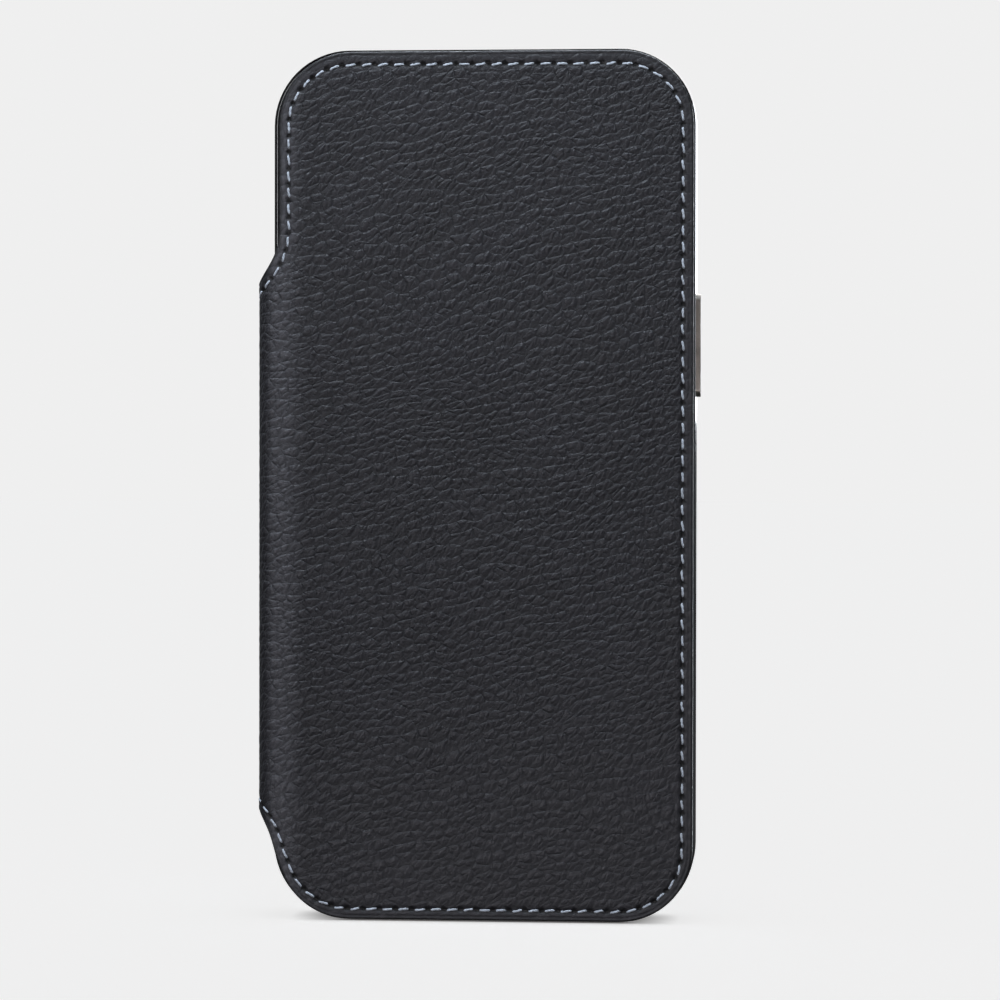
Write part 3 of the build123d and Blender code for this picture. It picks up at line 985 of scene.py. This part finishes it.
def camera_outline(clearance, corner, spacing):
    """The camera frame's outline, grown by this much, as a hole's edge."""
    low = frame_low[0] - clearance, frame_low[2] - clearance
    high = frame_high[0] + clearance, frame_high[2] + clearance
    return rounded_rectangle(low, high, corner, spacing)


camera_hole = camera_outline(0.1, CAMERA_CORNER, 0.5)


def blend_cover(obj):
    """Bakes the piece's place into its mesh."""
    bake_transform(obj)


def blend_back(obj):
    """Bakes the piece's place into its mesh."""
    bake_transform(obj)


def camera_clear(points, margin):
    """Whether each point is clear of the camera frame by this much."""
    centre = np.array([(frame_low[0] + frame_high[0]) / 2, (frame_low[2] + frame_high[2]) / 2])
    half = np.array([frame_high[0] - frame_low[0], frame_high[2] - frame_low[2]]) / 2
    q = np.abs(points - centre) - half + CAMERA_CORNER
    out = np.linalg.norm(np.maximum(q, 0), axis=1) + np.minimum(q.max(1), 0) - CAMERA_CORNER
    return out > margin


def make_leather(side):
    """One half of the hide, with its thread: the cover and half of the spine, or the back and the
    other half."""
    mirrored = side == "back"
    edge = back_edge if mirrored else cover_edge

    def place(u, z, depth):
        return fold.place(u, z, depth, mirrored)

    row = trim(row_line(edge), u_middle)
    centres, directions, holes = stitch_places(row, 0.0, STITCH_PITCH)
    if mirrored:
        clear = camera_clear(centres, 1.6)
        centres, directions = centres[clear], directions[clear]
        holes, row = holes[camera_clear(holes, 0.9)], row[camera_clear(row, 0.9)]
    sheet = build_sheet(
        "cover_leather" if side == "cover" else "back_cover_leather",
        Region(edge, False, u_middle, [camera_hole] if mirrored else []),
        SPACING,
        EDGE_SHAPE,
        leather,
        place,
        grain_share=GRAIN_SHARE,
        row=row,
        pits=holes,
        hide=hide_of(mirrored),
    )
    dress(sheet, LEATHER)
    slant, seed = (-8.0, 11) if mirrored else (8.0, 7)
    thread = build_thread(side + "_thread", centres, directions, place, 0.1, slant, seed)
    return sheet, thread


cover_leather, cover_thread = make_leather("cover")
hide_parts("flap_leather", "spine_leather")
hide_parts("flap_stitching", "spine_stitching")
blend_cover(cover_leather)
blend_cover(cover_thread)

back_leather_sheet, back_thread = make_leather("back")
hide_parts("back_leather")
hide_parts("back_stitching")
blend_back(back_leather_sheet)
blend_back(back_thread)


# --- Linings, card pockets and the thread seen inside ---

pocket_boxes = [box_mm(name) for name in pocket_names]
pocket_thickness = pocket_boxes[0][1][1] - pocket_boxes[0][0][1]
pocket_tops = [high_corner[2] for _, high_corner in pocket_boxes]
LINED_DEPTH = lining_high[1] - lining_low[1] + leather  # the lining's face, under the cover's face
THIN_DEPTH = leather + lining

LINING_SPACING = 0.85
POCKET_SPACING = 0.9
LINING_EDGE = np.array(
    [(0.0, 0.2), (0.1, 0.06), (0.3, 0.0), (0.8, 0.02), (1.5, 0.03), (2.1, 0.09), (2.6, 0.02), (3.2, 0.0)]
)
POCKET_EDGE = np.array(
    [(0.0, 0.16), (0.1, 0.05), (0.25, 0.0), (0.95, 0.0), (1.2, 0.06), (1.45, 0.0), (1.8, 0.0)]
)


def smooth(value, low, high):
    t = np.clip((value - low) / (high - low), 0, 1)
    return t * t * (3 - 2 * t)


def lined_depth(u):
    """How far under the leather's outer face the cover's lining shows: thick over the board, thin
    round the fold."""
    past = fold.start - u
    return LINED_DEPTH + (THIN_DEPTH - LINED_DEPTH) * smooth(past, 1.0, 3.6)


def layers_at(u, z):
    """How many pocket sheets lie on the lining at a place."""
    inner = (u > pocket_boxes[0][0][0] + 0.05).astype(float)
    return inner * sum((z < top).astype(float) for top in pocket_tops)


def inside_cover(u, z, depth):
    """Places a sheet on the lining's side of the cover; depth is under the lining's face."""
    return fold.place(u, z, lined_depth(u) - depth, False)


def lining_thickness(points):
    """How thick the lining is where it wraps the board's edge and in the tab."""
    return lined_depth(points[:, 0]) - leather


cover_row = trim(row_line(cover_edge), u_middle)
inner_centres, inner_directions, inner_holes = stitch_places(cover_row, STITCH_PITCH / 2, STITCH_PITCH)

cover_lining = build_sheet(
    "cover_lining",
    Region(cover_edge, False, u_middle),
    LINING_SPACING,
    LINING_EDGE,
    lining_thickness,
    inside_cover,
    pits=inner_holes,
)
dress(cover_lining, MICROFIBRE)
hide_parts("flap_lining", "spine_lining")
blend_cover(cover_lining)

back_spine_edge = np.array(
    [
        (u_middle - RUN_PAST, SPINE_TOP),
        (fold.start - 4.4, SPINE_TOP + 1.2),
        (fold.start - 3.9, SPINE_TOP + 0.6),
        (fold.start - 3.9, SPINE_BOTTOM - 0.6),
        (fold.start - 4.4, SPINE_BOTTOM - 1.2),
        (u_middle - RUN_PAST, SPINE_BOTTOM),
    ]
)
spine_lining_sheet = build_sheet(
    "spine_lining_sheet",
    Region(soften(resample(back_spine_edge, 0.3), 8), False, u_middle),
    LINING_SPACING,
    PLAIN_EDGE,
    lining,
    lambda u, z, depth: fold.place(u, z, THIN_DEPTH - depth, True),
    hide=hide_of(True),
)
dress(spine_lining_sheet, MICROFIBRE)
blend_back(spine_lining_sheet)


def on_pockets(u, z, depth):
    """Places thread on the lining, or on the card pockets where they lie on it."""
    face = lined_depth(u) + pocket_thickness * layers_at(u, z)
    return fold.place(u, z, face - depth, False)


# The underside of the cover's row of thread, which also holds the card pockets
cover_inner_thread = build_thread(
    "cover_inner_thread", inner_centres, inner_directions, on_pockets, 0.13, -8.0, 23
)
blend_cover(cover_inner_thread)


def pocket_outline(index):
    """A pocket's closed edge: nearly square at its mouth, round at its lower corners."""
    (x0, _, z0), (x1, _, top) = pocket_boxes[index]
    r = PANEL_CORNER - 1.0
    line = np.vstack(
        [
            [(x0, z0 + r), (x0, top - 0.8), (x0 + 0.25, top - 0.2), (x0 + 0.8, top)],
            [(x1 - 0.8, top), (x1 - 0.25, top - 0.2), (x1, top - 0.8), (x1, z0 + r)],
            arc((x1 - r, z0 + r), r, 0, -90),
            arc((x0 + r, z0 + r), r, 270, 180),
        ]
    )
    return resample(line, 0.3)


for index, name in enumerate(pocket_names):
    _, (_, face, top) = pocket_boxes[index]
    sheet = build_sheet(
        name + "_leather",
        Region(pocket_outline(index), True),
        POCKET_SPACING,
        POCKET_EDGE,
        pocket_thickness,
        lambda u, z, depth: np.stack([u, face - depth, z], 1),
        pits=inner_holes[inner_holes[:, 1] < top - 0.6],
    )
    dress(sheet, POCKET_LEATHER)
    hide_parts(name)
    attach(sheet, "flap")

# The tray's lining, which stops round the camera's opening, inside the frame's rim
TRAY_LINING_CORNER = 12.9
OPENING_CORNER = 11.1
tray_lining_edge = rounded_rectangle(
    (tray_lining_low[0], tray_lining_low[2]),
    (tray_lining_high[0], tray_lining_high[2]),
    TRAY_LINING_CORNER,
    0.4,
)
tray_lining = build_sheet(
    "tray_lining",
    Region(tray_lining_edge, True, None, [camera_outline(-1.4, OPENING_CORNER, 0.6)]),
    1.2,
    PLAIN_EDGE,
    tray_lining_high[1] - tray_lining_low[1],
    lambda u, z, depth: np.stack([u, tray_lining_low[1] + depth, z], 1),
)
dress(tray_lining, MICROFIBRE)
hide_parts("shell_lining")
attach(tray_lining, "shell")


# --- Camera, floor and light ---

middle = (cad_box[0] + cad_box[1]) / 2
tray_middle = (tray_low[0] + tray_high[0]) / 2 * MM

CAMERA_DISTANCE = 0.7
CAMERA_YAW = math.radians(4.8)
CAMERA_RISE = math.radians(0.8)
CAMERA_ROLL = math.radians(0.08)
CAMERA_LENS = 131.2

AIM_RIGHT, AIM_DOWN = 0.0027, 0.0029  # how far from the case's middle the camera aims

target = Vector((tray_middle + AIM_RIGHT, 0.0, middle.z - AIM_DOWN))
toward = Matrix.Rotation(CAMERA_YAW, 3, "Z") @ Vector((0, -math.cos(CAMERA_RISE), math.sin(CAMERA_RISE)))
camera = add_object("camera", bpy.data.cameras.new("camera"))
camera.data.lens = CAMERA_LENS
camera.data.sensor_width = 36.0
camera.location = target + toward * CAMERA_DISTANCE
turn = toward.to_track_quat("Z", "Y").to_matrix()
camera.rotation_euler = (turn @ Matrix.Rotation(CAMERA_ROLL, 3, "Z")).to_euler()
camera.data.clip_start, camera.data.clip_end = 0.01, 20.0
bpy.context.scene.camera = camera

BACKDROP = (0.864, 0.864, 0.864)
WORLD_LIGHT = 0.07
FLOOR_ALBEDO = 0.8
FLOOR_GLOW = 0.9  # the share of the floor's brightness that only the contact shadow takes away
CONTACT_REACH = 0.004  # how far from the case its contact shadow reaches
CONTACT_POWER = 0.45
SUN_SLOPE = 0.15

world = bpy.data.worlds.new("studio")
world.use_nodes = True
world.node_tree.nodes["Background"].inputs["Color"].default_value = (0.95, 0.97, 1.0, 1.0)
world.node_tree.nodes["Background"].inputs["Strength"].default_value = WORLD_LIGHT
bpy.context.scene.world = world
bpy.context.scene.view_settings.view_transform = "Standard"


def backdrop_dome(radius):
    """A round pale backdrop that only the camera sees."""
    work = bmesh.new()
    bmesh.ops.create_uvsphere(work, u_segments=48, v_segments=24, radius=radius)
    mesh = bpy.data.meshes.new("backdrop")
    work.to_mesh(mesh)
    work.free()
    made = add_object("backdrop", mesh)
    look = bpy.data.materials.new("backdrop_pale")
    look.use_nodes = True
    tree = Tree(look.node_tree)
    tree.tree.nodes.clear()
    glow = tree.add("ShaderNodeEmission", {"Color": (*BACKDROP, 1.0)})
    tree.add("ShaderNodeOutputMaterial", {"Surface": glow.outputs[0]})
    mesh.materials.append(look)
    for ray in ("diffuse", "glossy", "transmission", "volume_scatter", "shadow"):
        setattr(made, "visible_" + ray, False)
    made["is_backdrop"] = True


def floor_plane(reach):
    """The floor that the case stands on."""
    mesh = bpy.data.meshes.new("floor")
    corners = [(x * reach, y * reach, 0) for x, y in ((-1, -1), (1, -1), (1, 1), (-1, 1))]
    mesh.from_pydata(corners, [], [(0, 1, 2, 3)])
    made = add_object("floor", mesh)
    look, tree, shader = new_material("floor_pale")
    contact = tree.add("ShaderNodeAmbientOcclusion", {"Distance": CONTACT_REACH}, samples=16)
    clear = tree.math("POWER", contact.outputs["AO"], CONTACT_POWER)
    glow = tree.mix(clear, (0.02, 0.017, 0.015), tuple(c * FLOOR_GLOW for c in BACKDROP))
    link(tree, shader, Base_Color=(FLOOR_ALBEDO,) * 3, Roughness=1.0, Specular_IOR_Level=0.0)
    link(tree, shader, Emission_Color=glow, Emission_Strength=1.0)
    mesh.materials.append(look)
    made.visible_glossy = False
    made.visible_diffuse = False
    made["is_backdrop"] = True
    return made


backdrop_dome(6.0)
floor = floor_plane(5.5)


def receivers(name, objects):
    """A collection of what a lamp lights."""
    made = bpy.data.collections.new(name)
    for o in objects:
        made.objects.link(o)
    return made


lit_floor = receivers("lit_floor", [floor])
lit_case = receivers("lit_case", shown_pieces())
# The key lamps would streak the tray's glossy top rim
lit_soft = receivers("lit_soft", [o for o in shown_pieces() if o is not nodes["back_shell"]])


def lamp(name, data, energy, place, aim, lit, colour=(1, 1, 1)):
    """A lamp at a place, aimed at another, that lights one collection."""
    data.energy, data.color = energy, colour
    made = add_object(name, data)
    made.location = place
    made.rotation_euler = (Vector(aim) - Vector(place)).to_track_quat("-Z", "Y").to_euler()
    made.light_linking.receiver_collection = lit


def panel(name, energy, place, aim, lit, colour, size):
    """A rectangular softbox."""
    data = bpy.data.lights.new(name, "AREA")
    data.shape = "RECTANGLE"
    data.size, data.size_y = size
    lamp(name, data, energy, place, aim, lit, colour)


# The sun gives the floor what its own glow and the world's light leave out of the backdrop's
# brightness
floor_lack = BACKDROP[0] * (1 - FLOOR_GLOW) / FLOOR_ALBEDO - WORLD_LIGHT * 0.97
floor_sun = max(floor_lack, 0) * math.pi * math.hypot(1, SUN_SLOPE)
sun = bpy.data.lights.new("floor_light", "SUN")
sun.angle = math.radians(20)
lamp("floor_light", sun, floor_sun, (0, -SUN_SLOPE, 1), (0, 0, 0), lit_floor)

centre = tuple(middle)
crest = (spine_left * MM, front * MM, 0.08)
foot, head = (0.0, -0.01, 0.02), (0.0, -0.01, 0.10)
panel("key", 1.8, (-0.06, -0.15, 0.44), head, lit_soft, (0.80, 0.89, 1.0), (0.34, 0.08))
panel("front", 1.2, (-0.15, -1.25, 0.75), centre, lit_case, (0.84, 0.88, 1.0), (0.9, 0.5))
panel("low", 0.85, (-0.05, -0.5, 0.0), foot, lit_case, (0.97, 0.93, 1.0), (0.5, 0.12))
panel("left", 3.7, (-0.47, -0.88, 0.12), crest, lit_case, (0.95, 0.96, 1.0), (0.12, 0.8))
panel("right", 0.65, (0.62, -0.12, 0.12), centre, lit_case, (0.85, 0.93, 1.0), (0.08, 0.5))
panel("rear_key", 2.4, (0.05, 0.20, 0.42), (0.0, 0.01, 0.06), lit_soft, (0.84, 0.91, 1.0), (0.34, 0.10))
panel("rear_front", 6.0, (0.35, 1.2, 0.35), centre, lit_case, (0.90, 0.93, 1.0), (0.9, 0.5))
panel("rear_top", 2.0, (0.2, 0.8, 0.7), centre, lit_case, (1.0, 1.0, 1.0), (0.6, 0.4))
